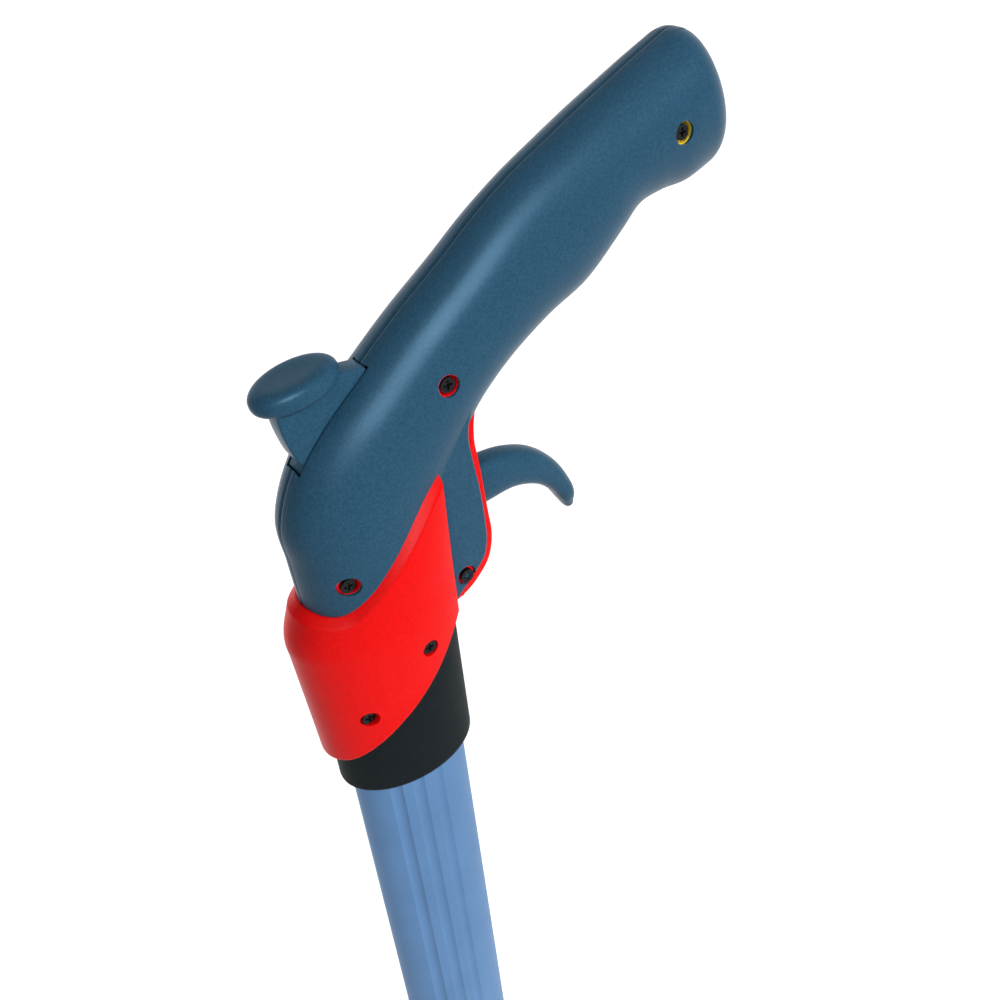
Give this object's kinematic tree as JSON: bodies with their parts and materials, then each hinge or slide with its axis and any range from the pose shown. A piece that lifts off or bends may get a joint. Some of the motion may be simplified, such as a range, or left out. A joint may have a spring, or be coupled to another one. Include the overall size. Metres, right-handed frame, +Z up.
{
  "type": "telescoping pole saw",
  "caption": "Telescoping pole saw with pistol grip, hook trigger, thumb lever, fluted oval poles with a sliding lock, and a curved pruning blade.",
  "frame": {"origin": "on the pole axis at the mouth of the pole socket", "axes": "+Z up the pole towards the hand, +X to the trigger side, Y across the grip; the blade points down -Z"},
  "size_m": [0.1609, 0.0378, 1.3674],
  "materials": {
    "slate_plastic": "fine-grained moulded",
    "red_plastic": "satin moulded",
    "black_plastic": "satin moulded",
    "white_plastic": "moulded",
    "yellow_plastic": "moulded",
    "aluminium_tube": "anodised extrusion",
    "aluminium_rivet": "plain",
    "steel": "zinc plated",
    "blade_steel": "ground",
    "black_screw": "black oxide",
    "rubber": "matt"
  },
  "bodies": {
    "handle": {"grip_shell_left": "slate_plastic", "grip_shell_right": "slate_plastic", "core_frame": "red_plastic", "collar_left": "red_plastic", "collar_right": "red_plastic", "pole_socket": "black_plastic", "outer_tube": "aluminium_tube", "guide_collar": "black_plastic", "grip_screws": "black_screw", "grip_washers": "red_plastic", "butt_washer": "yellow_plastic", "collar_screws": "black_screw", "trigger_pin": "steel", "lever_pin": "steel", "trigger_spring": "steel"},
    "trigger": {"trigger": "slate_plastic"},
    "thumb_lever": {"thumb_lever": "slate_plastic"},
    "release_rod": {"release_rod": "steel", "rod_crank": "steel", "rod_bush": "white_plastic"},
    "inner_pole": {"inner_tube": "aluminium_tube", "lock_plug": "white_plastic", "plug_rivets": "aluminium_rivet", "saw_head": "black_plastic", "head_rivets": "aluminium_rivet", "saw_blade": "blade_steel", "blade_bolts": "steel", "blade_nuts": "steel"},
    "lock_cam": {"lock_cam": "steel"},
    "front_shoe": {"front_shoe": "rubber"},
    "rear_shoe": {"rear_shoe": "rubber"}
  },
  "joints": [
    {"name": "trigger_pull", "type": "hinge", "parent": "handle", "child": "trigger", "pos_m": [0.011, 0, 0.0785], "axis": [0, -1, 0], "range_deg": [0, 10.75], "stiffness_Nm_per_rad": 0.9, "springref_deg": -14.32, "deforming": ["trigger_spring"]},
    {"name": "thumb_press", "type": "hinge", "parent": "handle", "child": "thumb_lever", "pos_m": [0.003, 0, 0.122], "axis": [0, -1, 0], "range_deg": [0, 15.8]},
    {"name": "rod_turn", "type": "hinge", "parent": "handle", "child": "release_rod", "pos_m": [0, 0, 0.0995], "axis": [0, 0, 1], "range_deg": [0, 40.1]},
    {"name": "pole_extend", "type": "slide", "parent": "handle", "child": "inner_pole", "axis": [0, 0, -1], "range_m": [0, 0.6]},
    {"name": "cam_turn", "type": "hinge", "parent": "inner_pole", "child": "lock_cam", "pos_m": [0, 0, -0.021], "axis": [0, 0, 1], "range_deg": [0, 40.1]},
    {"name": "front_shoe_slide", "type": "slide", "parent": "inner_pole", "child": "front_shoe", "axis": [-1, 0, 0], "range_m": [0, 0.0006]},
    {"name": "rear_shoe_slide", "type": "slide", "parent": "inner_pole", "child": "rear_shoe", "axis": [1, 0, 0], "range_m": [0, 0.0006]}
  ],
  "couplings": [
    {"joint": "thumb_press", "follows": "trigger_pull", "ratio": 1.4651},
    {"joint": "rod_turn", "follows": "trigger_pull", "ratio": 3.7209},
    {"joint": "cam_turn", "follows": "trigger_pull", "ratio": 3.7209},
    {"joint": "front_shoe_slide", "follows": "trigger_pull", "m_per_rad": 0.003091},
    {"joint": "rear_shoe_slide", "follows": "trigger_pull", "m_per_rad": 0.003091}
  ]
}
